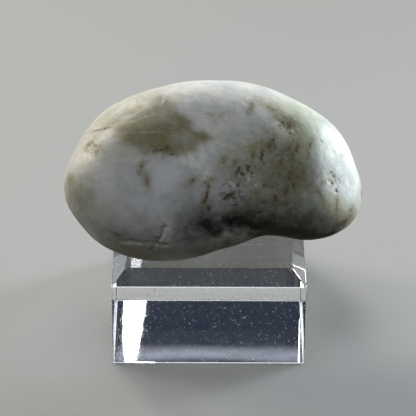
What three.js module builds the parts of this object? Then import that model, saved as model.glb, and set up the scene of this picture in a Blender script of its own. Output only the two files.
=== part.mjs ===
// A water-worn quartz pebble resting on a clear display block.
// Millimetres, +Z up. The origin is the middle of the block's base, with X to the right and Y to the back.

import * as THREE from "three";
import { ConvexGeometry } from "three/addons/geometries/ConvexGeometry.js";
import { mergeVertices } from "three/addons/utils/BufferGeometryUtils.js";

// Display block: a square block with a flat bevel round its four top edges
const blockSide = 45;
const blockHeight = 25;
const blockBevel = 3.15;

// Pebble: where its middle lies, and how far its broad front face leans back from upright
const pebbleMiddle = new THREE.Vector3(1.1, -6, 43.4);
const pebbleLean = THREE.MathUtils.degToRad(32.5);

// Half its thickness, in front of the outline and behind it
const frontThickness = 17;
const backThickness = 19;

// The long axis is turned, so that the right end lies further back. The turn fades out at the two ends
const endTurn = 0.3;
const endReach = 15;

// How full the section is between its outline and its middle: 2 is an ellipse
const fullness = 2.25;

// The smooth oval that the outline's small bends fade into, away from the rim
const ovalHalfLength = 34.4;
const ovalHalfWidth = 20.4;
const bendFade = 3;

// Outline of the broad face, in mm to the right of and above the pebble's middle
const outline = [
  [33.8, 0.6], [31.5, 6.2], [28.1, 10.8], [23.6, 14.2], [17, 17.6], [11.1, 19.9], [5.4, 20.9],
  [-5.5, 20.7], [-11.2, 19.6], [-17.6, 17.8], [-24.6, 14.4], [-30.2, 8.3], [-32.9, 3.1],
  [-34.9, -2.8], [-34.2, -7.8], [-30, -13.7], [-26.7, -17.1], [-20.1, -20], [-12.1, -21.3], [-4.1, -20.3],
  [3.3, -18.2], [9.4, -15.9], [15.2, -15.8], [21.2, -16.4], [27.2, -15.5], [33.1, -11.6], [35.4, -5.7],
];

// Flats worn on the pebble: the way each one looks, as right, up and front of the broad face,
// its distance from the middle and how softly it runs out
const flats = [
  { looks: [0.05, 0.12, 1], distance: 15.6, softness: 1.6 },
  { looks: [0.75, 0.1, 0.66], distance: 26.5, softness: 1.2 },
  { looks: [-0.2, 0.3, -1], distance: 17.5, softness: 2 },
];

// Hollows and lumps: place on the broad face, half lengths along and across, turn in degrees, and height.
// They fade out between these two shares of a direction that point to the front
const reliefFade = [-0.25, 0.1];
const reliefs = [
  { at: [2, -12.3], reach: [7, 1.8], turn: 5, height: -2.4 },
  { at: [12, -13.4], reach: [7, 2.2], turn: -6, height: -1.5 },
  { at: [4.4, -15.9], reach: [6, 2], turn: 14, height: 1.1 },
  { at: [-7, -15.5], reach: [4.6, 3.4], turn: 15, height: 0.5 },
  { at: [-13.5, -17], reach: [2.4, 4], turn: 25, height: -0.35 },
  { at: [-24, 9.6], reach: [8, 1.1], turn: 32, height: -0.3 },
  { at: [-29, 5.2], reach: [1.6, 1.6], turn: 0, height: -0.45 },
  { at: [16.4, 10.6], reach: [2, 1.4], turn: -20, height: -0.4 },
  { at: [12, 3.4], reach: [1.2, 3], turn: 0, height: -0.35 },
];

// The underside arches up between its two resting spots: middle and half length to the right, rise,
// and how far above the block the arch has faded out
const archMiddle = 6.5;
const archHalfLength = 6;
const archRise = 1.4;
const archReach = 9;

// The pebble rests a hair above the block, on the spots where the two would press together
const restGap = 0.04;
const restSoftness = 0.35;

// Rows of facets along one edge of the round form's twenty triangles, and steps round the outline's curve
const pebbleRows = 17;
const rimSteps = 720;

const clearAcrylic = new THREE.MeshStandardMaterial({
  name: "clear acrylic",
  color: 0xe8f0f2,
  roughness: 0.05,
  metalness: 0,
  transparent: true,
  opacity: 0.35,
});
const milkyQuartz = new THREE.MeshStandardMaterial({
  name: "milky quartz",
  color: 0xb9bdb6,
  roughness: 0.5,
  metalness: 0,
});

function displayBlock() {
  const half = blockSide / 2;
  const topHalf = half - blockBevel;
  const levels = [[half, 0], [half, blockHeight - blockBevel], [topHalf, blockHeight]];
  const corners = levels.flatMap(([reach, height]) =>
    [[1, 1], [-1, 1], [-1, -1], [1, -1]].map(([x, y]) => new THREE.Vector3(x * reach, y * reach, height)));
  const block = new THREE.Mesh(new ConvexGeometry(corners), clearAcrylic);
  block.name = "display_block";
  return block;
}

// Distance from the middle to the outline, as angle and radius pairs in rising order of angle
const rim = new THREE.CatmullRomCurve3(outline.map(([right, up]) => new THREE.Vector3(right, up, 0)), true)
  .getPoints(rimSteps)
  .map((point) => [Math.atan2(point.y, point.x), Math.hypot(point.x, point.y)])
  .sort((first, second) => first[0] - second[0]);

function rimRadius(angle) {
  const next = rim.findIndex(([rimAngle]) => rimAngle > angle);
  const [before, after] = next > 0 ? [rim[next - 1], rim[next]] : [rim[rim.length - 1], rim[0]];
  const gap = (after[0] - before[0] + 2 * Math.PI) % (2 * Math.PI);
  const share = gap > 0 ? ((angle - before[0] + 2 * Math.PI) % (2 * Math.PI)) / gap : 0;
  return THREE.MathUtils.lerp(before[1], after[1], share);
}

function ovalRadius(angle) {
  return 1 / Math.hypot(Math.cos(angle) / ovalHalfLength, Math.sin(angle) / ovalHalfWidth);
}

// How far a point stands past a soft flat: nothing well inside it, all of it well outside
function overrun(depth, softness) {
  return softness * Math.log1p(Math.exp(depth / softness));
}

// A direction from the middle becomes a point of the pebble, as right, up and front of the broad face
function pebblePoint(direction) {
  const angle = Math.atan2(direction.y, direction.x);
  const across = Math.min(1, Math.hypot(direction.x, direction.y));
  const rimShare = across ** (2 / fullness);
  const oval = ovalRadius(angle);
  const radius = rimShare * (oval + (rimRadius(angle) - oval) * across ** bendFade);
  const thickness = direction.z > 0 ? frontThickness : backThickness;
  const front = Math.sign(direction.z) * thickness * Math.abs(direction.z) ** (2 / fullness);
  const point = new THREE.Vector3(radius * Math.cos(angle), radius * Math.sin(angle), front);

  for (const { looks, distance, softness } of flats) {
    const outward = new THREE.Vector3(...looks).normalize();
    point.addScaledVector(outward, -overrun(point.dot(outward) - distance, softness));
  }
  for (const { at, reach, turn, height } of reliefs) {
    const away = new THREE.Vector2(point.x - at[0], point.y - at[1])
      .rotateAround(new THREE.Vector2(), -THREE.MathUtils.degToRad(turn));
    const fall = Math.exp(-((away.x / reach[0]) ** 2) - (away.y / reach[1]) ** 2);
    const frontOnly = THREE.MathUtils.smoothstep(direction.z, ...reliefFade);
    const outward = new THREE.Vector3(point.x / ovalHalfLength ** 2, point.y / ovalHalfWidth ** 2,
      point.z / frontThickness ** 2).normalize();
    point.addScaledVector(outward, height * fall * frontOnly);
  }
  point.z -= endTurn * endReach * Math.tanh(point.x / endReach);
  return point;
}

function quartzPebble() {
  const round = new THREE.IcosahedronGeometry(1, pebbleRows);
  round.deleteAttribute("normal");
  round.deleteAttribute("uv");
  const form = mergeVertices(round, 1e-5);
  const places = form.attributes.position;
  const toRoom = new THREE.Matrix4().makeRotationX(Math.PI / 2 - pebbleLean).setPosition(pebbleMiddle);
  const floor = blockHeight + restGap;
  const direction = new THREE.Vector3();
  for (let index = 0; index < places.count; index += 1) {
    direction.fromBufferAttribute(places, index).normalize();
    const point = pebblePoint(direction).applyMatrix4(toRoom);
    const underside = 1 - THREE.MathUtils.smoothstep(point.z, blockHeight, blockHeight + archReach);
    point.z += archRise * underside * Math.exp(-(((point.x - archMiddle) / archHalfLength) ** 2));
    point.z += overrun(floor - point.z, restSoftness);
    places.setXYZ(index, point.x, point.y, point.z);
  }
  form.computeVertexNormals();
  const pebble = new THREE.Mesh(form, milkyQuartz);
  pebble.name = "quartz_pebble";
  return pebble;
}

const specimen = new THREE.Group();
specimen.add(displayBlock(), quartzPebble());

export default specimen;
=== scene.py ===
import math

import bmesh
import bpy
import numpy as np
from mathutils import Matrix, Quaternion, Vector, noise


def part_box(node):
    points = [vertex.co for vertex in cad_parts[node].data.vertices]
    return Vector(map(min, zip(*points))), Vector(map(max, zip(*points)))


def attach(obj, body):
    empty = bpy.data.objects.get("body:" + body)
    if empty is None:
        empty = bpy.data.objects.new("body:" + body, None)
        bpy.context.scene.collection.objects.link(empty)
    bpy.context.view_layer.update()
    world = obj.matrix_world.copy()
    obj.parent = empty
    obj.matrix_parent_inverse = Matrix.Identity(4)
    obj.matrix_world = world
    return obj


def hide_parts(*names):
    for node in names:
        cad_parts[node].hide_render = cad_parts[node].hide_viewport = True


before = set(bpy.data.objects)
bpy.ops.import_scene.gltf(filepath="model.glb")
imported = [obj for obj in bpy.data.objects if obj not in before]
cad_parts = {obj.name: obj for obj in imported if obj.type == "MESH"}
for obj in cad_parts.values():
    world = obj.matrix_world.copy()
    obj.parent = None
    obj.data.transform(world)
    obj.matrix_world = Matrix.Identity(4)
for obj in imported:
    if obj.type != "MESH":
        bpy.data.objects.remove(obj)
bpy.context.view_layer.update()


# Display block. One solid block of clear cast acrylic, sawn square and flame-polished, with a flat
# bevel round its four top edges. It is the frame's own solid with its sharp edges broken a little,
# as polishing leaves them.

# Rounding of the edges in metres: the bottom ones are the most worn, the rest get a share of that
edge_round = 0.0005
edge_steps = 4
upper_edge_share = 0.44
weld_distance = 1e-7
flat_angle = math.radians(0.05)
acrylic_ior = 1.49
acrylic_tint = (0.86, 0.95, 0.97, 1)
acrylic_density = 4.0


def baked(piece):
    """Turns a piece's modifiers into plain mesh, and takes them off."""
    graph = bpy.context.evaluated_depsgraph_get()
    mesh = bpy.data.meshes.new_from_object(piece.evaluated_get(graph))
    piece.modifiers.clear()
    piece.data = mesh


def whole_copy(node, name):
    """A new object with the frame solid's faces, joined where its loose triangles meet."""
    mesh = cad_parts[node].data.copy()
    mesh.name = name
    form = bmesh.new()
    form.from_mesh(mesh)
    bmesh.ops.remove_doubles(form, verts=form.verts, dist=weld_distance)
    bmesh.ops.dissolve_limit(form, angle_limit=flat_angle, verts=form.verts, edges=form.edges)
    form.to_mesh(mesh)
    form.free()
    mesh.materials.clear()
    piece = bpy.data.objects.new(name, mesh)
    bpy.context.scene.collection.objects.link(piece)
    return piece


def shader_nodes(name):
    """A new material, with its node tree and its Principled shader."""
    material = bpy.data.materials.new(name)
    material.use_nodes = True
    return material, material.node_tree, material.node_tree.nodes["Principled BSDF"]


def add_node(tree, kind, settings=None, **links):
    """Adds a node. A link is named for its input, or _ and its number, and is a value or a socket."""
    node = tree.nodes.new(kind)
    for key, value in (settings or {}).items():
        setattr(node, key, value)
    for key, value in links.items():
        socket = node.inputs[int(key[1:])] if key[1:].isdigit() else node.inputs[key.replace("_", " ")]
        if isinstance(value, bpy.types.NodeSocket):
            tree.links.new(value, socket)
        else:
            socket.default_value = value
    return node


def ramp(tree, value, low, high, bottom=0.0, top=1.0):
    """A soft step from bottom to top, as a value goes from low to high."""
    node = add_node(tree, "ShaderNodeMapRange", {"interpolation_type": "SMOOTHSTEP"},
                    Value=value, From_Min=low, From_Max=high, To_Min=bottom, To_Max=top)
    return node.outputs["Result"]


def clear_acrylic():
    """Polished acrylic: plain transmission and absorption, with a faint swell left by polishing."""
    material, tree, shader = shader_nodes("clear acrylic")
    shader.inputs["Base Color"].default_value = (1, 1, 1, 1)
    shader.inputs["IOR"].default_value = acrylic_ior
    shader.inputs["Transmission Weight"].default_value = 1.0
    absorb = add_node(tree, "ShaderNodeVolumeAbsorption")
    absorb.inputs["Color"].default_value = acrylic_tint
    absorb.inputs["Density"].default_value = acrylic_density
    tree.links.new(absorb.outputs["Volume"], tree.nodes["Material Output"].inputs["Volume"])
    place = add_node(tree, "ShaderNodeTexCoord").outputs["Object"]
    swell = add_node(tree, "ShaderNodeTexNoise", Vector=place, Scale=45.0, Detail=0.0)
    bump = add_node(tree, "ShaderNodeBump", Strength=0.03, Distance=0.0002, Height=swell.outputs["Fac"])
    tree.links.new(bump.outputs["Normal"], shader.inputs["Normal"])
    rubbed = add_node(tree, "ShaderNodeTexNoise", Vector=place, Scale=160.0, Detail=3.0)
    tree.links.new(ramp(tree, rubbed.outputs["Fac"], 0.3, 0.7, 0.004, 0.022), shader.inputs["Roughness"])
    return material


block = whole_copy("display_block", "clear_display_block")
bare_block = block.data.copy()
worn = block.data.attributes.new("bevel_weight_edge", "FLOAT", "EDGE")
for edge in block.data.edges:
    on_floor = all(block.data.vertices[corner].co.z < edge_round for corner in edge.vertices)
    worn.data[edge.index].value = 1.0 if on_floor else upper_edge_share
broken_edges = block.modifiers.new("broken edges", "BEVEL")
broken_edges.width = edge_round
broken_edges.segments = edge_steps
broken_edges.limit_method = "WEIGHT"
baked(block)
block.data.materials.append(clear_acrylic())
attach(block, "root")
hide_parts("display_block")


# Quartz pebble. One piece of milky quartz that a river wore smooth, clouded grey-green, with an olive
# patch, dark mineral flecks and a few pits and cracks. It starts from the frame's own solid, finely
# divided and smoothed, and its small relief and the places of its colours are then worked into it.
# Some of its colours are painted shade, under it and low on its face, and the pale lips of its cracks
# are painted highlights.

mm = 0.001
pebble_middle = Vector((1.1, -6.0, 43.4)) * mm
pebble_lean = math.radians(32.5)
# The broad face gets a finer mesh than the back, and the whole is eased round its facets
finer_from = 0.3
face_cuts = 2
smoothing_rounds = 10
# How squarely the skin faces the front where the front's marks start to show, and where they are full
front_fade = (-0.1, 0.25)
# The skin stays this far inside the frame's solid, and this far above the block, in mm
skin_allowance = 0.12
contact_gap = 0.03
# Unevenness in mm: broad swells, finer ripples and the satin grain, and more of it where the stone is
# frosty or crumbly
swell_height = 0.10
ripple_height = 0.016
grain_height = 0.005
frost_ripple = 0.07
rubble_ripple = 0.16
rubble_grain = 0.05

# Places on the broad face are in mm to the right of and above the pebble's middle
olive_patch = [
    (-12.2, 16.8), (-9.4, 15.2), (-7.4, 12.2), (-4.4, 9.6), (0.2, 7.3), (-3.2, 5.6), (-7.2, 2.9),
    (-10.6, 3.5), (-15.8, 4.2), (-20.6, 5.9), (-23.8, 9.9), (-18.6, 12.3), (-14.6, 14.0),
]
# Lumps and hollows: place, half length, half width, turn in degrees and height in mm
lumps = [
    (3.0, -12.3, 7.0, 1.3, 4, -0.35), (5.0, -15.4, 5.2, 1.5, 14, 0.25), (-6.5, -15.2, 4.4, 3.0, 15, 0.10),
    (-13.6, -16.2, 1.6, 3.2, 22, -0.45), (16.6, 9.8, 2.0, 1.5, -20, -0.25),
    (27.2, -2.2, 1.6, 2.4, 10, -0.15), (7.0, 0.0, 2.4, 1.6, 20, -0.15),
]
# Cracks with a lip: their course, how far one side stands above the other, how fast that fades,
# and how dark the crack is
ledges = [
    ([(-28.2, 8.6), (-25.5, 9.3), (-23.0, 9.7)], 0.16, 1.2, 0.40),
    ([(-20.2, 11.2), (-16.6, 11.8), (-14.0, 12.6)], 0.07, 0.9, 0.12),
    ([(-10.3, -12.4), (-11.7, -13.6), (-11.9, -15.2), (-13.0, -17.2)], 0.75, 2.2, 0.30),
    ([(-22.5, -16.1), (-17.5, -16.4), (-12.6, -17.2), (-8.7, -16.9)], -0.36, 1.8, 0.20),
    ([(-12.9, -17.4), (-15.2, -18.9)], 0.22, 0.9, 0.18),
    ([(12.0, 6.0), (11.2, 3.4), (10.9, 1.6)], 0.12, 0.8, 0.30),
    ([(-9.4, -13.0), (-7.2, -12.2), (-5.8, -13.4), (-6.4, -15.2)], 0.14, 1.0, 0.12),
]
# Pits: place, radius and depth in mm
pits = [
    (-29.0, 5.5, 0.36, 0.09), (-28.0, 6.1, 0.32, 0.07), (-26.9, 5.1, 0.28, 0.06), (-27.6, 3.9, 0.32, 0.06),
    (-28.8, 4.2, 0.30, 0.07), (-26.6, 9.0, 0.28, 0.12), (-24.6, 9.4, 0.24, 0.10), (-25.6, 9.6, 0.22, 0.10),
    (15.7, 10.8, 0.34, 0.14), (17.0, 10.2, 0.28, 0.12), (17.5, 8.4, 0.26, 0.12), (16.4, 9.4, 0.24, 0.10),
    (14.6, 10.9, 0.26, 0.09), (18.2, 9.6, 0.24, 0.09), (16.0, 11.8, 0.22, 0.08),
    (26.9, -0.6, 0.28, 0.08), (27.7, -1.5, 0.24, 0.08), (26.4, -2.4, 0.26, 0.07), (27.3, -3.1, 0.22, 0.07),
    (28.3, -4.8, 0.28, 0.16), (24.6, 6.7, 0.25, 0.10), (2.0, 12.6, 0.25, 0.08), (4.2, 12.2, 0.22, 0.08),
    (10.9, 3.4, 0.34, 0.16), (12.4, 5.4, 0.30, 0.12), (17.9, -3.6, 0.34, 0.12), (3.0, -6.2, 0.42, 0.15),
    (6.0, -0.7, 0.34, 0.15), (7.7, 0.5, 0.30, 0.14), (-8.6, 12.4, 0.20, 0.07), (-20.6, -15.0, 0.26, 0.10),
]
# Dark and brown flecks: place, half length, half width, turn in degrees, how dark and how brown
flecks = [
    (-12.8, 4.2, 2.3, 0.6, 8, 0.42, 0.7), (-10.8, 5.0, 0.9, 0.5, 40, 0.50, 0.6),
    (-15.4, 3.6, 0.9, 0.4, 20, 0.45, 0.7), (-9.6, 3.4, 0.8, 0.4, 10, 0.40, 0.4),
    (-16.4, 0.6, 0.80, 0.34, 78, 0.25, 1.0), (-15.4, 1.6, 0.6, 0.25, 40, 0.10, 0.6),
    (-15.2, -2.6, 0.8, 0.38, 100, 0.20, 1.0), (-32.8, -1.9, 0.6, 0.3, 90, 0.26, 0.8),
    (-1.4, -4.0, 0.8, 0.35, 80, 0.40, 0.9), (-2.2, -7.2, 0.9, 0.4, 70, 0.45, 0.9),
    (9.4, -5.6, 0.7, 0.35, 60, 0.45, 0.8), (15.2, 1.8, 0.8, 0.35, 80, 0.45, 0.9),
    (14.6, -1.6, 0.7, 0.35, 70, 0.40, 0.9), (20.4, -0.6, 0.8, 0.3, 80, 0.40, 0.9),
    (8.8, 3.4, 0.9, 0.35, 75, 0.35, 0.9), (16.4, -4.8, 0.9, 0.4, 60, 0.45, 0.9),
    (-28.6, 5.8, 1.1, 0.34, 50, 0.75, 0.9), (-27.2, 5.6, 0.9, 0.32, -40, 0.60, 0.9),
    (-28.7, 4.3, 0.6, 0.3, 80, 0.60, 0.9), (-27.4, 3.9, 0.8, 0.3, 10, 0.60, 0.8),
    (-25.6, 9.3, 1.6, 0.2, 15, 0.50, 0.6), (-27.9, 4.9, 0.7, 0.6, 0, 0.05, 0.75),
    (-29.2, 4.6, 0.5, 0.3, 80, 0.60, 0.9), (-4.9, -2.6, 0.9, 0.45, 30, 0.45, 1.0),
    (-1.8, -2.9, 0.8, 0.4, 20, 0.40, 0.9), (-0.6, -2.2, 0.5, 0.35, 20, 0.35, 0.9),
    (1.8, 1.7, 1.0, 0.5, 60, 0.20, 0.9), (4.4, 1.4, 0.7, 0.3, 70, 0.20, 0.9),
    (5.4, -0.3, 1.1, 0.45, 65, 0.80, 0.2), (6.4, -0.9, 0.8, 0.35, -20, 0.70, 0.2),
    (7.8, 0.5, 1.1, 0.4, 80, 0.80, 0.3), (8.6, -0.5, 0.6, 0.3, 70, 0.5, 0.5),
    (10.7, 3.2, 1.5, 0.36, 84, 0.85, 0.6), (11.3, 1.6, 0.7, 0.3, 70, 0.55, 0.6),
    (12.5, 5.4, 1.0, 0.36, 78, 0.60, 0.9), (13.4, 6.6, 1.0, 0.32, 80, 0.60, 0.9),
    (13.9, 5.2, 0.6, 0.3, 70, 0.50, 0.9), (15.7, 10.8, 1.0, 0.35, -35, 0.50, 0.8),
    (17.2, 10.1, 0.8, 0.35, 50, 0.48, 0.9), (17.5, 8.4, 0.6, 0.35, 80, 0.60, 0.7),
    (17.1, 5.0, 0.9, 0.4, 70, 0.50, 0.9), (19.0, 5.0, 0.8, 0.45, 80, 0.65, 0.9),
    (17.9, 3.8, 0.6, 0.35, 20, 0.50, 0.8), (16.4, 4.2, 0.5, 0.3, 50, 0.45, 0.8),
    (21.9, 5.4, 0.8, 0.28, 74, 0.60, 0.9), (17.2, -1.4, 1.1, 0.35, 80, 0.60, 0.7),
    (17.9, -3.2, 1.4, 0.45, 105, 0.70, 0.8), (18.9, -1.9, 0.6, 0.35, 60, 0.45, 0.9),
    (11.6, -3.6, 0.9, 0.45, 10, 0.55, 0.6), (12.8, -3.8, 0.7, 0.35, -10, 0.50, 0.6),
    (5.4, -3.4, 0.7, 0.3, 50, 0.75, 0.2), (6.0, -2.6, 0.5, 0.3, 60, 0.55, 0.2),
    (3.4, -5.9, 1.5, 0.5, 30, 0.95, 0.2), (4.6, -6.4, 0.8, 0.3, -10, 0.70, 0.2),
    (2.0, -5.6, 0.6, 0.35, 0, 0.5, 0.3), (13.8, -6.4, 0.9, 0.7, 60, 0.60, 0.5),
    (11.2, -7.4, 0.9, 0.4, 0, 0.45, 0.4), (4.9, -8.1, 0.8, 0.35, 0, 0.50, 0.5),
    (-1.6, -5.9, 1.1, 0.36, 85, 0.80, 0.7), (-1.2, -8.4, 1.0, 0.5, 80, 0.55, 0.6),
    (29.6, 3.5, 0.4, 0.25, 90, 0.16, 0.5), (24.5, 6.7, 0.3, 0.22, 0, 0.34, 0.5),
    (27.0, -0.5, 0.7, 0.3, 60, 0.65, 0.6), (27.9, -1.4, 0.6, 0.3, 100, 0.60, 0.6),
    (25.6, -2.6, 0.7, 0.35, 20, 0.45, 0.6), (27.3, -2.9, 0.7, 0.3, 80, 0.55, 0.6),
    (28.3, -4.8, 0.8, 0.28, 90, 0.80, 0.5), (24.3, -5.6, 1.4, 0.32, -58, 0.60, 0.9),
    (28.4, -8.0, 1.4, 0.26, 88, 0.60, 1.0), (31.9, -9.0, 0.6, 0.3, 70, 0.45, 1.0),
    (29.4, -12.6, 2.2, 0.7, 30, 1.0, 0.8), (31.6, -10.4, 0.8, 0.35, 60, 0.5, 0.9),
    (9.6, -9.8, 1.5, 0.4, 5, 0.55, 0.3),
    (-21.9, -14.8, 0.6, 0.3, -40, 0.50, 0.3), (8.2, -9.7, 1.0, 0.4, 20, 0.70, 0.2),
    (8.4, 14.6, 0.9, 0.3, 70, 0.12, 0.8), (14.2, 13.6, 1.4, 0.4, -30, 0.10, 0.9),
    (-1.0, 12.7, 1.4, 0.5, 0, 0.30, 0.2), (1.6, 12.2, 0.6, 0.3, 0, 0.30, 0.2),
]
# Black mineral in the hollow under the face and along the right lobe's underside, partly painted
# shade of those places, which face away from the light: as the flecks
black_mineral_and_shade = [
    (-1.5, -12.6, 3.0, 1.7, -20, 0.95), (-3.2, -10.6, 1.9, 0.9, 60, 0.65), (4.6, -11.4, 4.4, 1.2, 0, 1.0),
    (0.4, -14.3, 2.6, 1.6, 0, 0.9), (10.2, -12.6, 5.2, 1.8, -8, 1.05), (18.0, -15.0, 9.0, 2.8, -3, 1.2),
    (26.5, -15.4, 4.6, 1.5, 14, 0.95), (9.5, -9.6, 2.2, 0.6, 5, 0.5), (14.0, -10.6, 3.4, 0.9, 0, 0.5),
    (18.0, -17.8, 12.0, 3.8, 0, 1.3), (11.5, -15.2, 5.0, 2.0, 10, 1.0),
]
# Brown-black stain that spreads round the black mineral, partly painted shade low on the face and
# under it
stains_and_shade = [
    (8.0, -12.2, 12.0, 3.2, 0, 0.90), (17.5, -14.6, 12.5, 4.6, 0, 1.0), (-2.5, -13.0, 6.0, 4.4, 10, 0.86),
    (4.0, -13.6, 7.0, 1.4, 5, 0.85), (2.0, -17.9, 12.0, 2.4, 14, 0.85), (-14.0, -19.6, 13.0, 2.8, -4, 0.60),
]
# Clouds: place, half length, half width, turn in degrees and strength
# The smoky clouds are partly the quartz's grey-green smoke and partly painted shade, low on the face and
# right of its middle
smoke_and_shade_clouds = [
    (17.0, -1.0, 11.0, 8.0, -10, 0.95), (8.0, -8.0, 8.5, 5.0, -10, 1.0), (5.5, -1.5, 5.5, 5.0, 30, 0.75),
    (16.0, 9.5, 5.0, 3.5, -20, 0.35), (2.0, 12.4, 2.8, 1.4, 0, 0.40), (12.0, 4.0, 5.0, 5.0, 60, 0.70),
    (18.0, -10.5, 9.5, 3.6, 0, 1.0), (-3.5, -9.0, 4.0, 5.0, 0, 0.60), (-5.0, -15.0, 9.0, 3.4, 10, 0.80),
    (-31.0, -6.5, 4.0, 6.0, 20, 0.60), (-22.0, -16.0, 10.0, 3.6, -30, 0.75), (5.6, -16.0, 6.0, 2.4, 16, 1.0),
    (1.0, 14.5, 10.0, 4.0, 0, 0.30), (15.0, -7.5, 9.5, 3.6, 0, 0.95),
]
tan_clouds = [
    (8.5, 5.0, 4.8, 2.8, 20, 0.75), (12.5, 15.6, 5.0, 1.6, -15, 0.55), (20.0, 13.0, 3.5, 1.6, -35, 0.45),
    (-24.5, 11.2, 6.5, 3.0, 35, 0.90), (-17.0, 14.6, 7.0, 3.2, 22, 0.95), (-21.0, 9.4, 4.0, 3.0, 30, 0.60),
    (-27.8, 4.8, 2.0, 1.8, 0, 1.0), (28.0, -8.5, 2.6, 6.0, 8, 0.70), (30.6, -10.8, 3.6, 2.0, 38, 0.85),
    (19.6, 8.2, 3.2, 3.4, 0, 0.65), (15.6, 10.0, 3.6, 2.4, -20, 0.5), (-31.0, -5.5, 3.0, 6.0, 20, 0.55),
    (5.2, -15.6, 4.6, 1.5, 14, 0.75), (18.5, 1.0, 5.0, 7.0, 0, 0.45), (11.5, 0.5, 6.0, 4.5, 20, 0.40),
    (-18.0, -18.6, 8.0, 2.0, -10, 0.55), (-11.0, 15.8, 4.5, 2.4, 20, 0.60), (-30.0, 3.0, 2.6, 6.0, 12, 0.58),
    (2.5, 9.0, 6.0, 3.0, 10, 0.22), (-33.5, 0.5, 1.6, 6.0, 12, 0.40), (-4.6, 5.4, 2.8, 1.2, 30, 0.35),
    (-22.0, 4.6, 4.0, 2.0, 10, 0.30), (-24.5, -8.5, 3.4, 1.6, 30, 0.35),
]
green_clouds = [
    (20.0, 10.5, 6.0, 5.0, -40, 1.0), (27.0, 2.0, 4.0, 7.0, 0, 0.45), (15.0, 0.0, 9.0, 7.0, -20, 0.5),
    (24.0, -9.0, 7.0, 3.0, 0, 0.5),
]
cool_clouds = [
    (-12.0, -5.0, 15.0, 10.0, 0, 1.0), (28.0, -3.0, 5.0, 9.0, 0, 1.0), (3.0, -6.5, 6.0, 4.0, 0, 1.0),
]
pale_clouds = [
    (-5.8, 2.4, 2.4, 1.7, 10, 0.65), (-2.5, -1.8, 2.6, 1.5, 30, 0.45), (-10.6, -13.4, 0.9, 2.2, 12, 0.75),
    (-20.0, 11.9, 2.6, 0.35, 15, 0.40), (-15.4, 12.2, 2.4, 0.3, 18, 0.35), (-25.0, 9.7, 2.6, 0.4, 12, 0.60),
    (-11.8, 15.6, 1.3, 0.20, 55, 0.60), (7.7, -1.8, 0.9, 0.35, 88, 0.60), (14.4, 10.9, 0.9, 0.5, 0, 0.65),
    (-9.0, 7.6, 2.8, 0.16, -12, 0.24), (-8.0, 9.4, 2.4, 0.14, -35, 0.20), (18.4, 9.4, 0.8, 0.5, 0, 0.5),
    (-15.0, 8.4, 3.2, 0.2, 2, 0.30), (-10.6, 9.6, 2.0, 0.14, -20, 0.18), (27.6, -4.0, 0.8, 0.4, 60, 0.5),
]
# Where small olive flecks and veins are sown, and where the quartz is frosty: as the clouds
sown_flecks = [
    (14.0, 1.0, 10.0, 8.0, -20, 1.0), (4.0, -5.0, 6.0, 5.0, 30, 0.9), (27.0, -3.0, 4.0, 6.0, 0, 0.7),
    (16.5, 9.0, 5.0, 3.0, -20, 0.9), (-27.0, 6.0, 4.0, 3.5, 35, 0.6), (-13.0, 3.5, 5.0, 2.0, 5, 0.6),
    (4.0, -13.0, 8.0, 3.0, 0, 0.9), (20.0, -11.0, 12.0, 2.6, 0, 0.9), (11.0, 14.0, 6.0, 2.6, -20, 0.55),
    (12.5, -6.0, 5.5, 4.0, 0, 1.0),
]
frosty_places = [
    (-4.5, 0.5, 4.6, 3.4, 20, 0.7), (6.0, -4.0, 5.0, 3.5, 0, 0.7), (-8.0, -12.0, 6.0, 4.0, 0, 0.6),
    (-22.0, -8.0, 6.0, 3.0, 0, 0.45), (16.0, 10.0, 4.0, 3.0, 0, 0.6),
]
# Where the olive patch thins out, as the clouds
thin_olive = [(-5.4, 6.6, 4.2, 2.2, -10, 0.25), (-10.4, 15.2, 3.4, 2.0, 20, 0.35)]
# The rough crumbly patch, and the right flank that wear has left smoother: place, half lengths and turn
rubble_patch = (-5.2, -13.9, 5.5, 3.2, 10)
calm_flank = (29.0, 0.0, 9.0, 16.0, 0)
calming = 0.75
# A crack's groove, its dark line and its pale lip, which is a painted highlight on the raised side:
# half widths in mm, and how far off the lip lies
groove_width = 0.28
line_width = 0.30
lip_width = 0.35
lip_distance = 0.5
# Knocks from other stones: how many, how deep for their size, and the smallest and the added size in mm
knock_count = 150
knock_depth = 0.07
knock_size = (0.35, 0.5)
# How far the noise moves the edges of clouds and flecks, and how much wider a fleck's brown halo is
wander = 0.8
brown_halo = 2.6
# The unseen back: how many flecks it has, between which sizes in mm, and the share that lies apart
back_flecks = 70
back_fleck_size = (0.8, 2.6)
stray_share = 0.02


def smooth_share(value, low, high):
    """0 below low and 1 above high, or the other way round where low is the higher."""
    share = np.clip((value - low) / (high - low), 0, 1)
    return share * share * (3 - 2 * share)


def path_distance(right, up, course):
    """Distance to a line of points, to its left or right side, and how far along it from 0 to 1."""
    nearest = np.full(right.shape, 1e9)
    side = np.zeros(right.shape)
    progress = np.zeros(right.shape)
    travelled = 0.0
    for (start_right, start_up), (end_right, end_up) in zip(course, course[1:]):
        along = np.array((end_right - start_right, end_up - start_up))
        length = np.hypot(*along)
        along = along / length
        away_right = right - start_right
        away_up = up - start_up
        travel = np.clip(away_right * along[0] + away_up * along[1], 0, length)
        distance = np.hypot(away_right - travel * along[0], away_up - travel * along[1])
        closer = distance < nearest
        nearest[closer] = distance[closer]
        side[closer] = (along[0] * away_up - along[1] * away_right)[closer]
        progress[closer] = travelled + travel[closer]
        travelled += length
    return nearest, np.sign(side), progress / travelled


def inside_distance(right, up, outline):
    """Distance inside a closed outline, below nought outside it."""
    closed = outline + outline[:1]
    distance, _, _ = path_distance(right, up, closed)
    crossings = np.zeros(right.shape, dtype=int)
    for (start_right, start_up), (end_right, end_up) in zip(closed, closed[1:]):
        spans = (start_up > up) != (end_up > up)
        meets = start_right + (up - start_up) * (end_right - start_right) / (end_up - start_up + 1e-9)
        crossings += spans & (right < meets)
    return np.where(crossings % 2 == 1, distance, -distance)


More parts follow.
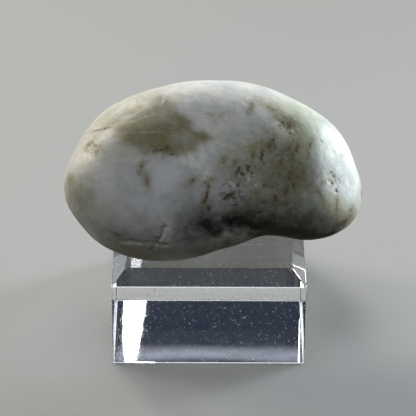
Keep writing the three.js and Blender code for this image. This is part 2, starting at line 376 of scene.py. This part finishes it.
def spot(right, up, place_right, place_up, half_length, half_width, turn=0.0):
    """1 in the middle of an oval spot, fading to 0 past its edge."""
    away_right = right - place_right
    away_up = up - place_up
    turn = math.radians(turn)
    along = away_right * math.cos(turn) + away_up * math.sin(turn)
    across = away_up * math.cos(turn) - away_right * math.sin(turn)
    return np.exp(-((along / half_length) ** 2) - (across / half_width) ** 2)


def rough_field(places, scale, octaves, seed):
    """Layered noise about nought at each place, in mm, with features of the given size."""
    shift = Vector((seed * 17.3, seed * 5.1, seed * 29.7))
    return np.array([noise.fractal(Vector(place) / scale + shift, 0.9, 2.1, octaves) for place in places])


face_up = np.array((0, math.sin(pebble_lean), math.cos(pebble_lean)))
face_front = np.array((0, -math.cos(pebble_lean), math.sin(pebble_lean)))

pebble = whole_copy("quartz_pebble", "milky_quartz_pebble")
rounder = pebble.modifiers.new("rounder", "SUBSURF")
rounder.levels = rounder.render_levels = 1
baked(pebble)
finer = bmesh.new()
finer.from_mesh(pebble.data)
broad_face = [face for face in finer.faces if face.normal.dot(Vector(face_front)) > finer_from]
bmesh.ops.subdivide_edges(finer, edges=list({edge for face in broad_face for edge in face.edges}),
                          cuts=face_cuts, use_grid_fill=True)
finer.to_mesh(pebble.data)
finer.free()
eased = pebble.modifiers.new("eased", "SMOOTH")
eased.factor = 0.5
eased.iterations = smoothing_rounds
baked(pebble)

mesh = pebble.data
count = len(mesh.vertices)
places = np.empty(count * 3)
mesh.vertices.foreach_get("co", places)
places = places.reshape(-1, 3)
outward = np.empty(count * 3)
mesh.vertices.foreach_get("normal", outward)
outward = outward.reshape(-1, 3)
in_mm = (places - np.array(pebble_middle)) / mm
right = in_mm[:, 0]
up = in_mm @ face_up
on_front = smooth_share(outward @ face_front, *front_fade)
behind = 1 - on_front

swell = rough_field(in_mm, scale=7.0, octaves=2, seed=1)
ripple = rough_field(in_mm, scale=1.6, octaves=3, seed=2)
grain = rough_field(in_mm, scale=0.55, octaves=2, seed=3)
drift = rough_field(in_mm, scale=2.6, octaves=3, seed=4)
sway = rough_field(in_mm, scale=2.6, octaves=3, seed=5)
cloud = rough_field(in_mm, scale=6.0, octaves=4, seed=6)
broad = rough_field(in_mm, scale=17.0, octaves=3, seed=8)

rubble = spot(right, up, *rubble_patch) * on_front
liveliness = 1 - calming * on_front * spot(right, up, *calm_flank)
height = liveliness * (swell_height * swell + ripple_height * ripple + grain_height * grain) - skin_allowance
height += rubble * (rubble_ripple * ripple + rubble_grain * grain)
for frost_right, frost_up, half_length, half_width, turn, strength in frosty_places:
    frost = on_front * strength * spot(right, up, frost_right, frost_up, half_length, half_width, turn)
    height += frost * frost_ripple * ripple
for lump_right, lump_up, half_length, half_width, turn, rise in lumps:
    height += on_front * rise * spot(right, up, lump_right, lump_up, half_length, half_width, turn)
crack_lines = np.zeros(count)
painted_lip_highlights = np.zeros(count)
for course, step, fade, darkness in ledges:
    distance, side, progress = path_distance(right + 0.25 * drift, up + 0.25 * sway, course)
    taper = on_front * smooth_share(progress, 0, 0.2) * smooth_share(progress, 1, 0.8)
    lowered = 0.5 * (step * side - abs(step))
    height += taper * lowered * np.exp(-distance / fade) * smooth_share(distance, 0, 0.22)
    height -= taper * 0.4 * abs(step) * np.exp(-((distance / groove_width) ** 2))
    line = taper * darkness * np.exp(-((distance / line_width) ** 2))
    # The pale lip on the raised side is a painted highlight, as if that edge caught the light
    beside = np.exp(-(((distance - lip_distance) / lip_width) ** 2)) * (side * step > 0)
    crack_lines = np.maximum(crack_lines, line)
    painted_lip_highlights = np.maximum(painted_lip_highlights, taper * beside * min(1.0, 2.5 * abs(step)))
for pit_right, pit_up, radius, depth in pits:
    height -= on_front * depth * spot(right, up, pit_right, pit_up, radius, radius)

# Each knock is a shallow dint, thinly spread all round
for which in np.random.default_rng(7).choice(count, knock_count, replace=False):
    away = in_mm - in_mm[which]
    reach = knock_size[0] + knock_size[1] * ((which * 0.618) % 1)
    height -= knock_depth * reach * np.exp(-(np.sum(away * away, axis=1)) / reach ** 2)

places = places + outward * (height * mm)[:, None]
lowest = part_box("display_block")[1][2] + contact_gap * mm
touching = places[:, 2] < lowest
places[touching, 2] = lowest
mesh.vertices.foreach_set("co", places.ravel())
mesh.update()


def scattered(spots, strayed=wander, grow=1.0):
    """The strongest of a list of spots at each place of the broad face, with edges strayed by noise."""
    strongest = np.zeros(count)
    for spot_right, spot_up, half_length, half_width, turn, strength in spots:
        here = spot(right + strayed * drift, up + strayed * sway, spot_right, spot_up,
                    half_length * grow, half_width * grow, turn)
        strongest = np.maximum(strongest, strength * here * on_front)
    return strongest


# The olive patch ends sharply at its right and fades out to the left
olive_fade = 1.25 + 1.5 * smooth_share(-right, 12, 21)
olive_depth = inside_distance(right + wander * drift, up + wander * sway, olive_patch) / olive_fade
olive_front = on_front * smooth_share(olive_depth, -1, 1)
olive_front *= 1 - scattered(thin_olive)

# The back has a large olive cloud or two, smoky and tan shades and flecks that come in loose groups
olive_back = 0.75 * behind * smooth_share(broad + 0.15 * cloud, 0.35, 0.75)
smoky_back = 0.55 * behind * smooth_share(broad + 0.5 * cloud, -0.3, 0.9)
tan_back = 0.55 * behind * smooth_share(0.3 * cloud - broad, 0.0, 0.7)
grouped = behind * smooth_share(broad + 0.5 * cloud, 0.0, 0.8)
likely = grouped + stray_share * behind
chance = np.random.default_rng(19)
back_dark = np.zeros(count)
back_brown = np.zeros(count)
for which in chance.choice(count, back_flecks, replace=False, p=likely / np.sum(likely)):
    away = in_mm - in_mm[which] + 0.5 * np.stack((drift, sway, ripple), axis=1)
    reach = chance.uniform(*back_fleck_size) * chance.uniform(0.4, 1.0)
    near = np.exp(-np.sum(away * away, axis=1) / reach ** 2)
    back_dark = np.maximum(back_dark, chance.uniform(0.15, 0.55) * near)
    back_brown = np.maximum(back_brown, chance.uniform(0.3, 0.9) * near ** 0.3)

dark_spots = [fleck[:6] for fleck in flecks]
brown_spots = [(*fleck[:5], fleck[6]) for fleck in flecks]
masks = {
    "olive": np.maximum(olive_front, olive_back),
    "tan": np.maximum(scattered(tan_clouds, 1.2), tan_back),
    # Smoke, partly painted shade
    "smoke_and_shade": np.maximum(scattered(smoke_and_shade_clouds, 1.6), smoky_back),
    # Pale places, with the cracks' lips as painted highlights
    "pale": np.maximum(scattered(pale_clouds, 0.3), 0.8 * painted_lip_highlights),
    "dark": np.maximum.reduce([scattered(dark_spots, 0.25), crack_lines, back_dark]),
    # Black mineral and stain, both partly painted shade low on the stone
    "black_and_shade": scattered(black_mineral_and_shade, 0.9),
    "stained_and_shaded": scattered(stains_and_shade, 1.4),
    "green": scattered(green_clouds, 1.2),
    "brown": np.maximum(scattered(brown_spots, 0.3, brown_halo), back_brown),
    "cool": scattered(cool_clouds, 1.0),
    "sown": np.maximum(scattered(sown_flecks, 1.2), 0.8 * grouped),
    "frosty": scattered(frosty_places, 1.2),
    # Painted shade: the more the skin faces down, the darker it is painted
    "shaded_underside": smooth_share(-outward[:, 2], -0.25, 0.75),
}
for name, values in masks.items():
    layer = mesh.attributes.new(name, "FLOAT", "POINT")
    layer.data.foreach_set("value", values.astype(np.float32))
for face in mesh.polygons:
    face.use_smooth = True


def blend_colour(tree, share, first, second):
    """The second colour over the first, by a share from 0 to 1."""
    node = add_node(tree, "ShaderNodeMix", {"data_type": "RGBA"}, Factor=share)
    for socket, value in ((node.inputs[6], first), (node.inputs[7], second)):
        if isinstance(value, bpy.types.NodeSocket):
            tree.links.new(value, socket)
        else:
            socket.default_value = (*value, 1)
    return node.outputs[2]


def maths(tree, operation, first, second):
    """The sum, difference, product or larger one of two values."""
    return add_node(tree, "ShaderNodeMath", {"operation": operation}, _0=first, _1=second).outputs["Value"]


# Colours of the quartz, of what is in it and on it, and of the shade painted on it
warm_milk = (0.595, 0.585, 0.553)
cool_milk = (0.605, 0.616, 0.642)
grey_milk = (0.45, 0.46, 0.445)
bright_streak = (0.68, 0.675, 0.65)
# Painted shade for the underside
painted_underside_shade = (0.125, 0.116, 0.100)
green_tint = (0.35, 0.41, 0.25)
# Smoke colours, which also serve as painted shade
warm_smoke_and_shade = (0.076, 0.084, 0.060)
cool_smoke_and_shade = (0.082, 0.088, 0.092)
tan_rind = (0.285, 0.265, 0.135)
olive_stone = (0.160, 0.140, 0.046)
brown_rust = (0.19, 0.150, 0.052)
olive_fleck = (0.095, 0.086, 0.032)
olive_vein = (0.105, 0.105, 0.050)
frosty_white = (0.72, 0.73, 0.71)
pale_scratch_and_highlight = (0.74, 0.74, 0.71)
dark_fleck = (0.040, 0.038, 0.022)
brown_fleck = (0.115, 0.085, 0.028)
# Stain and black colours, which also serve as painted shade
dark_soil_and_shade = (0.034, 0.028, 0.021)
tan_soil_and_shade = (0.140, 0.115, 0.075)
black_crust_and_shade = (0.022, 0.018, 0.013)
quartz_speck = (0.55, 0.56, 0.54)
# How it takes the light, and the depth of its two layers of fine bumps in metres
quartz_ior = 1.54
milkiness = 0.6
milk_depth = 0.0016
milk_spread = (1.0, 0.95, 0.8)
mottle_depth = 0.00011
speck_depth = 0.00005


def milky_quartz():
    """Worn quartz: satin, cloudy and a little translucent, with its colours where the mesh says."""
    material, tree, shader = shader_nodes("milky quartz")
    place = add_node(tree, "ShaderNodeTexCoord").outputs["Object"]
    mask = {}
    for name in masks:
        mask[name] = add_node(tree, "ShaderNodeAttribute", {"attribute_name": name}).outputs["Fac"]

    def patchy(scale, detail=4.0, roughness=0.6, stretch=None, turn=0.0):
        where = place
        if stretch:
            leaning = (0.0, math.radians(turn), 0.0)
            mapping = add_node(tree, "ShaderNodeMapping", Vector=place, Rotation=leaning, Scale=stretch)
            where = mapping.outputs["Vector"]
        return add_node(tree, "ShaderNodeTexNoise", Vector=where, Scale=scale, Detail=detail,
                        Roughness=roughness).outputs["Fac"]

    def times(first, second):
        return maths(tree, "MULTIPLY", first, second)

    def level(value, low, high, bottom=0.0, top=1.0):
        return ramp(tree, value, low, high, bottom, top)

    def over(stone, colour, share):
        return blend_colour(tree, share, stone, colour)

    clouds = patchy(140.0, 5.0)
    mottle = patchy(650.0, 4.0, 0.65)
    specks = patchy(2200.0, 3.0)
    streaks = patchy(900.0, 3.0, stretch=(0.16, 1.0, 1.0), turn=-24)
    columns = patchy(1100.0, 3.0, 0.65, stretch=(1.0, 1.0, 0.4), turn=12)
    veins = patchy(420.0, 4.0, 0.7, stretch=(1.0, 1.0, 0.55), turn=20)

    # The milky stone, what tints it from within, and the shade painted low on it
    milk = over(warm_milk, cool_milk, level(mask["cool"], 0.1, 0.9))
    milk = over(milk, grey_milk, level(clouds, 0.38, 0.66))
    milk = over(milk, bright_streak, level(streaks, 0.48, 0.70, 0.0, 0.28))
    # Painted shade on the underside, darker the more the skin faces down
    milk = over(milk, painted_underside_shade, times(mask["shaded_underside"], level(clouds, 0.3, 0.6, 0.55, 0.85)))
    milk = over(milk, green_tint, times(mask["green"], level(clouds, 0.3, 0.6, 0.4, 0.9)))
    # Smoke, partly painted shade low on the face
    smoke_and_shade = over(warm_smoke_and_shade, cool_smoke_and_shade, level(mask["cool"], 0.3, 0.9))
    stone = over(milk, smoke_and_shade, times(mask["smoke_and_shade"], level(mottle, 0.28, 0.64, 0.60, 1.0)))
    tanned = times(mask["tan"], level(mottle, 0.3, 0.65, 0.5, 1.0))
    stone = over(stone, tan_rind, times(tanned, level(specks, 0.3, 0.6, 0.6, 1.0)))
    stone = over(stone, olive_stone, times(mask["olive"], level(clouds, 0.25, 0.6, 0.70, 1.0)))
    stone = over(stone, brown_rust, times(mask["brown"], level(mottle, 0.3, 0.6, 0.45, 0.95)))
    sown = times(level(mask["sown"], 0.1, 0.8), level(columns, 0.53, 0.72, 0.0, 0.80))
    stone = over(stone, olive_fleck, sown)
    veined = times(level(mask["sown"], 0.2, 0.9), level(veins, 0.52, 0.70, 0.0, 0.60))
    stone = over(stone, olive_vein, veined)
    stone = over(stone, frosty_white, times(mask["frosty"], level(mottle, 0.50, 0.62, 0.0, 0.80)))
    # Pale scratches, and the cracks' lips as painted highlights
    stone = over(stone, pale_scratch_and_highlight, times(mask["pale"], level(mottle, 0.3, 0.6)))

    # Flecks, the stain and the black mineral, the last two partly painted shade, with ragged edges
    crumble = maths(tree, "ADD", times(maths(tree, "SUBTRACT", mottle, 0.5), 1.3),
                    times(maths(tree, "SUBTRACT", specks, 0.5), 2.0))
    ragged = maths(tree, "ADD", mask["dark"], crumble)
    fleck = over(dark_fleck, brown_fleck, times(mask["brown"], 0.8))
    stone = over(stone, fleck, times(level(ragged, 0.06, 0.62, 0.0, 0.96), level(mask["dark"], 0.04, 0.30)))
    # Stain, partly painted shade low on the face
    stain_and_shade = times(mask["stained_and_shaded"], level(veins, 0.35, 0.6, 0.75, 1.0))
    stone = over(stone, over(dark_soil_and_shade, tan_soil_and_shade, mask["tan"]), stain_and_shade)
    # Black mineral, partly painted shade in the hollow and under the right lobe
    black_and_shade_edge = maths(tree, "ADD", mask["black_and_shade"], times(crumble, 0.55))
    black_and_shade_share = times(level(black_and_shade_edge, 0.10, 1.0, 0.0, 0.97), level(mask["black_and_shade"], 0.05, 0.4))
    stone = over(stone, black_crust_and_shade, black_and_shade_share)
    stone = over(stone, quartz_speck, level(specks, 0.60, 0.74, 0.0, 0.3))
    tree.links.new(stone, shader.inputs["Base Color"])

    # The stained and blackened places, painted shade among them, and the underside are duller than the worn
    # face
    dulled_places = maths(tree, "MAXIMUM", maths(tree, "MAXIMUM", stain_and_shade, black_and_shade_share), times(mask["shaded_underside"], 0.7))
    tree.links.new(level(dulled_places, 0.0, 1.0, 0.5, 0.08), shader.inputs["Specular IOR Level"])
    dullness = maths(tree, "ADD", level(clouds, 0.3, 0.7, 0.40, 0.52), times(mask["shaded_underside"], 0.38))
    tree.links.new(dullness, shader.inputs["Roughness"])
    shader.inputs["IOR"].default_value = quartz_ior
    shader.inputs["Subsurface Weight"].default_value = milkiness
    shader.inputs["Subsurface Scale"].default_value = milk_depth
    shader.inputs["Subsurface Radius"].default_value = milk_spread
    fine = add_node(tree, "ShaderNodeBump", Strength=0.5, Distance=mottle_depth, Height=mottle)
    finest = add_node(tree, "ShaderNodeBump", Strength=0.5, Distance=speck_depth, Height=specks,
                      Normal=fine.outputs["Normal"])
    tree.links.new(finest.outputs["Normal"], shader.inputs["Normal"])
    return material


mesh.materials.append(milky_quartz())
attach(pebble, "root")
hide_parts("quartz_pebble")


# Dust and hairlines. Handling has left grains of dust, a little lint and fine scratches on the block's
# polished faces. They lie on every face but the underside, scattered with a fixed seed.

# Metres that the dust keeps off the floor and off the back face's plane, and how far short of that
# plane it is scattered
dust_gap = 0.00001
back_allowance = 0.0003
# A grain's height for its width, how far a fibre bends and its radius for its length, and the smallest
# size as a share of the largest
grain_flatness = 0.9
fibre_bow = 0.12
fibre_radius = 0.018
smallest_share = 0.35
kinds_of_dust = {
    "dust_grains": {"per_square_metre": 700000.0, "length": 0.00019, "seed": 11, "fibre": False},
    "dust_crumbs": {"per_square_metre": 70000.0, "length": 0.00042, "seed": 12, "fibre": False},
    "hairlines": {"per_square_metre": 55000.0, "length": 0.0011, "seed": 13, "fibre": True},
    "lint": {"per_square_metre": 4000.0, "length": 0.0024, "seed": 14, "fibre": True},
}


def dust_tree(name, fibre, material):
    """Scatters grains or short bent fibres over the faces of a mesh, turned and sized at random."""
    tree = bpy.data.node_groups.new(name, "GeometryNodeTree")
    tree.interface.new_socket("Geometry", in_out="INPUT", socket_type="NodeSocketGeometry")
    tree.interface.new_socket("Geometry", in_out="OUTPUT", socket_type="NodeSocketGeometry")
    sockets = {}
    for key, kind in (("Density", "Float"), ("Length", "Float"), ("Seed", "Int")):
        socket = tree.interface.new_socket(key, in_out="INPUT", socket_type="NodeSocket" + kind)
        sockets[key] = socket.identifier
    given = tree.nodes.new("NodeGroupInput").outputs
    points = add_node(tree, "GeometryNodeDistributePointsOnFaces", Mesh=given["Geometry"],
                      Density=given["Density"], Seed=given["Seed"])
    if fibre:
        bow = add_node(tree, "GeometryNodeCurveQuadraticBezier", Resolution=5, Start=(-0.5, 0.0, 0.0),
                       Middle=(0.0, fibre_bow, 0.0), End=(0.5, 0.0, 0.0))
        section = add_node(tree, "GeometryNodeCurvePrimitiveCircle", Resolution=4, Radius=fibre_radius)
        shape = add_node(tree, "GeometryNodeCurveToMesh", Curve=bow.outputs["Curve"],
                         Profile_Curve=section.outputs["Curve"], Fill_Caps=True).outputs["Mesh"]
    else:
        pellet = add_node(tree, "GeometryNodeMeshIcoSphere", Radius=0.5, Subdivisions=1)
        shape = add_node(tree, "GeometryNodeTransform", Geometry=pellet.outputs["Mesh"],
                         Translation=(0.0, 0.0, 0.5)).outputs["Geometry"]
    spin = add_node(tree, "FunctionNodeRandomValue", {"data_type": "FLOAT"}, Seed=given["Seed"],
                    _2=0.0, _3=math.tau)
    about = add_node(tree, "ShaderNodeCombineXYZ", Z=spin.outputs[1])
    turned = add_node(tree, "FunctionNodeRotateRotation", {"rotation_space": "LOCAL"},
                      Rotation=points.outputs["Rotation"], Rotate_By=about.outputs["Vector"])
    share = add_node(tree, "FunctionNodeRandomValue", {"data_type": "FLOAT"}, Seed=given["Seed"], ID=1,
                     _2=smallest_share, _3=1.0)
    size = maths(tree, "MULTIPLY", share.outputs[1], given["Length"])
    tall = maths(tree, "MULTIPLY", size, grain_flatness)
    flat = add_node(tree, "ShaderNodeCombineXYZ", X=size, Y=size, Z=tall)
    placed = add_node(tree, "GeometryNodeInstanceOnPoints", Points=points.outputs["Points"], Instance=shape,
                      Rotation=turned.outputs["Rotation"], Scale=flat.outputs["Vector"])
    real = add_node(tree, "GeometryNodeRealizeInstances", Geometry=placed.outputs["Instances"])
    coated = add_node(tree, "GeometryNodeSetMaterial", Geometry=real.outputs["Geometry"], Material=material)
    tree.links.new(coated.outputs["Geometry"], tree.nodes.new("NodeGroupOutput").inputs["Geometry"])
    return tree, sockets


def pale_dust():
    """Dry dust and scratched plastic: pale and matt."""
    material, tree, shader = shader_nodes("pale dust")
    place = add_node(tree, "ShaderNodeTexCoord").outputs["Object"]
    patch = add_node(tree, "ShaderNodeTexNoise", Vector=place, Scale=400.0, Detail=1.0)
    tree.links.new(blend_colour(tree, patch.outputs["Fac"], (0.62, 0.60, 0.54), (0.90, 0.90, 0.88)),
                   shader.inputs["Base Color"])
    shader.inputs["Roughness"].default_value = 0.7
    return material


dust_material = pale_dust()
open_faces = bmesh.new()
open_faces.from_mesh(bare_block)
undersides = [face for face in open_faces.faces if face.normal.z < -0.5]
bmesh.ops.delete(open_faces, geom=undersides, context="FACES_ONLY")
block_low, block_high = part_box("display_block")
for corner in open_faces.verts:
    corner.co.y = min(corner.co.y, block_high[1] - back_allowance)
open_faces.to_mesh(bare_block)
open_faces.free()

for name, kind in kinds_of_dust.items():
    dust = bpy.data.objects.new(name, bare_block.copy())
    bpy.context.scene.collection.objects.link(dust)
    tree, sockets = dust_tree(name, kind["fibre"], dust_material)
    scatter = dust.modifiers.new("scatter", "NODES")
    scatter.node_group = tree
    scatter[sockets["Density"]] = kind["per_square_metre"]
    scatter[sockets["Length"]] = kind["length"]
    scatter[sockets["Seed"]] = kind["seed"]
    baked(dust)
    for vertex in dust.data.vertices:
        vertex.co.z = max(vertex.co.z, block_low[2] + dust_gap)
        vertex.co.y = min(vertex.co.y, block_high[1] - dust_gap)
    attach(dust, "root")


# Floor, light and camera. A plain pale floor a hair below the block. Soft lights: a cool one from the
# right, two warm ones from the left, a tall narrow one behind and one overhead. The camera stands far
# off and looks down on the block's front and the pebble's broad face.

floor_size = 3.0
floor_drop = 0.00003
floor_grey = (0.33, 0.33, 0.325, 1)
floor_roughness = 0.9
floor_mesh = bpy.data.meshes.new("floor")
half = floor_size / 2
floor_mesh.from_pydata([(-half, -half, -floor_drop), (half, -half, -floor_drop), (half, half, -floor_drop),
                        (-half, half, -floor_drop)], [], [(0, 1, 2, 3)])
floor = bpy.data.objects.new("floor", floor_mesh)
bpy.context.scene.collection.objects.link(floor)
material, tree, shader = shader_nodes("pale floor")
shader.inputs["Base Color"].default_value = floor_grey
shader.inputs["Roughness"].default_value = floor_roughness
floor_mesh.materials.append(material)


def soft_light(name, place, size, power, colour, height=None, aim=(0.0, 0.0, 0.03), lean=0.0, fan=180.0):
    """A round or oval light in metres and watts, aimed at a place, leant and fanned out in degrees."""
    lamp = bpy.data.lights.new(name, "AREA")
    lamp.shape = "ELLIPSE"
    lamp.size = size
    lamp.size_y = height or size
    lamp.energy = power
    lamp.color = colour
    lamp.spread = math.radians(fan)
    light = bpy.data.objects.new(name, lamp)
    light.location = place
    facing = (Vector(aim) - Vector(place)).to_track_quat("-Z", "Y")
    light.rotation_euler = (facing @ Quaternion((0, 0, 1), math.radians(lean))).to_euler()
    bpy.context.scene.collection.objects.link(light)


soft_light("cool side light", (0.50, 0.26, 0.11), 0.24, 0.47, (0.86, 0.96, 1.0), height=0.20, fan=50.0)
soft_light("warm back light", (-0.30, 0.44, 0.45), 0.22, 1.9, (1.0, 0.94, 0.86))
# The block's front shows this one as a bright upright patch
soft_light("slit light", (-0.0300, 0.50, 0.30), 0.0114, 0.12, (1.0, 1.0, 1.0), height=0.114,
           aim=(-0.0300, 0.0, 0.0), lean=-4.7)
soft_light("warm side light", (-0.62, 0.26, 0.28), 0.30, 2.8, (1.0, 0.92, 0.80))
soft_light("overhead", (-0.04, -0.04, 0.75), 0.4, 2.2, (0.95, 0.98, 1.0))

# The studio's own light behind the object, by height: the sine of the elevation and the colour there.
# It is dark at the height that the block's front shows, apart from a narrow glow, and brighter below
# and above that. The glow comes up and goes down between the sines that are given for it
studio_behind = [
    (0.00, (0.05, 0.05, 0.05)), (0.04, (0.50, 0.52, 0.55)), (0.46, (0.50, 0.52, 0.55)),
    (0.53, (0.008, 0.012, 0.022)), (0.595, (0.008, 0.012, 0.022)), (0.605, (0.14, 0.15, 0.19)),
    (0.63, (0.14, 0.15, 0.19)), (0.66, (0.42, 0.44, 0.47)), (0.80, (0.42, 0.44, 0.47)),
    (0.84, (0.021, 0.022, 0.027)), (1.00, (0.021, 0.022, 0.027)),
]
glow_rise = (0.5812, 0.5855)
glow_fall = (0.5880, 0.5858)
glow_colour = (0.17, 0.18, 0.22)
studio_in_front = (0.032, 0.034, 0.040)
studio_strength = 2.0

world = bpy.context.scene.world or bpy.data.worlds.new("studio")
bpy.context.scene.world = world
world.use_nodes = True
sky = world.node_tree
outlook = add_node(sky, "ShaderNodeTexCoord").outputs["Generated"]
looking = add_node(sky, "ShaderNodeSeparateXYZ", Vector=outlook)
levels = add_node(sky, "ShaderNodeValToRGB", Fac=looking.outputs["Z"])
stops = levels.color_ramp.elements
while len(stops) < len(studio_behind):
    stops.new(1.0)
for stop, (sine, colour) in zip(stops, studio_behind):
    stop.position = sine
    stop.color = (*colour, 1)
rising = ramp(sky, looking.outputs["Z"], *glow_rise)
falling = ramp(sky, looking.outputs["Z"], *glow_fall)
glowing = blend_colour(sky, maths(sky, "MULTIPLY", rising, falling), levels.outputs["Color"], glow_colour)
backwards = ramp(sky, looking.outputs["Y"], 0.2, 0.6)
studio = blend_colour(sky, backwards, studio_in_front, glowing)
sky.links.new(studio, sky.nodes["Background"].inputs["Color"])
sky.nodes["Background"].inputs["Strength"].default_value = studio_strength
bpy.context.scene.view_settings.view_transform = "Standard"

camera_place = (-0.0023, -0.5138, 0.3572)
camera_pitch = math.radians(32.55)
camera_yaw = math.radians(0.23)
camera_roll = math.radians(0.31)
focal_pixels = 2573.6
photo_pixels = 416

lens = bpy.data.cameras.new("camera")
lens.sensor_width = 36.0
lens.lens = focal_pixels / photo_pixels * lens.sensor_width
lens.clip_start = 0.01
camera = bpy.data.objects.new("camera", lens)
turned = Matrix.Rotation(-camera_yaw, 4, "Z") @ Matrix.Rotation(math.pi / 2 - camera_pitch, 4, "X")
camera.matrix_world = Matrix.Translation(camera_place) @ turned @ Matrix.Rotation(camera_roll, 4, "Z")
bpy.context.scene.collection.objects.link(camera)
bpy.context.scene.camera = camera
